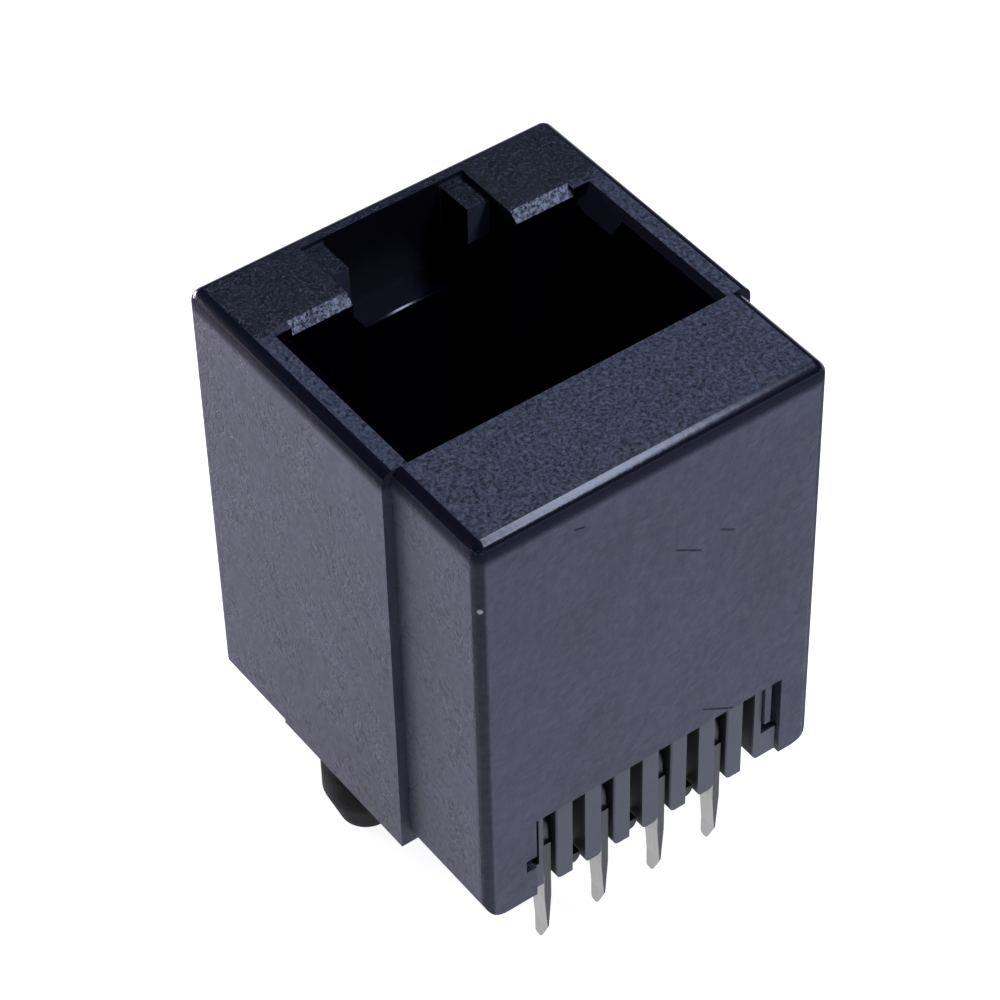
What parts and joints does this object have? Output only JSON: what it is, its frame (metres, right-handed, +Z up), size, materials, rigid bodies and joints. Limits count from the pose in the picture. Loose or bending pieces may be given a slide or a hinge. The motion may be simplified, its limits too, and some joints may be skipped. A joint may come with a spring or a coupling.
{
  "type": "modular board jack",
  "caption": "Top entry modular jack for a circuit board: black moulded body with a keyed plug mouth, formed spring contacts on a carrier and two snap-in board posts.",
  "frame": {"origin": "on the board plane, midway between the axes of the two board posts", "axes": "+Z up out of the board and out of the plug mouth; -Y towards the contact side with the comb window; +X along the row of contacts, from contact_1 to contact_8"},
  "size_m": [0.0154, 0.0162, 0.0226],
  "materials": {
    "body_plastic": "spark-eroded matt",
    "carrier_plastic": "satin",
    "contact_metal": "bright tin plating on phosphor bronze"
  },
  "bodies": {
    "root": {"housing": "body_plastic", "contact_carrier": "carrier_plastic", "contact_1": "contact_metal", "contact_2": "contact_metal", "contact_3": "contact_metal", "contact_4": "contact_metal", "contact_5": "contact_metal", "contact_6": "contact_metal", "contact_7": "contact_metal", "contact_8": "contact_metal"}
  },
  "joints": []
}
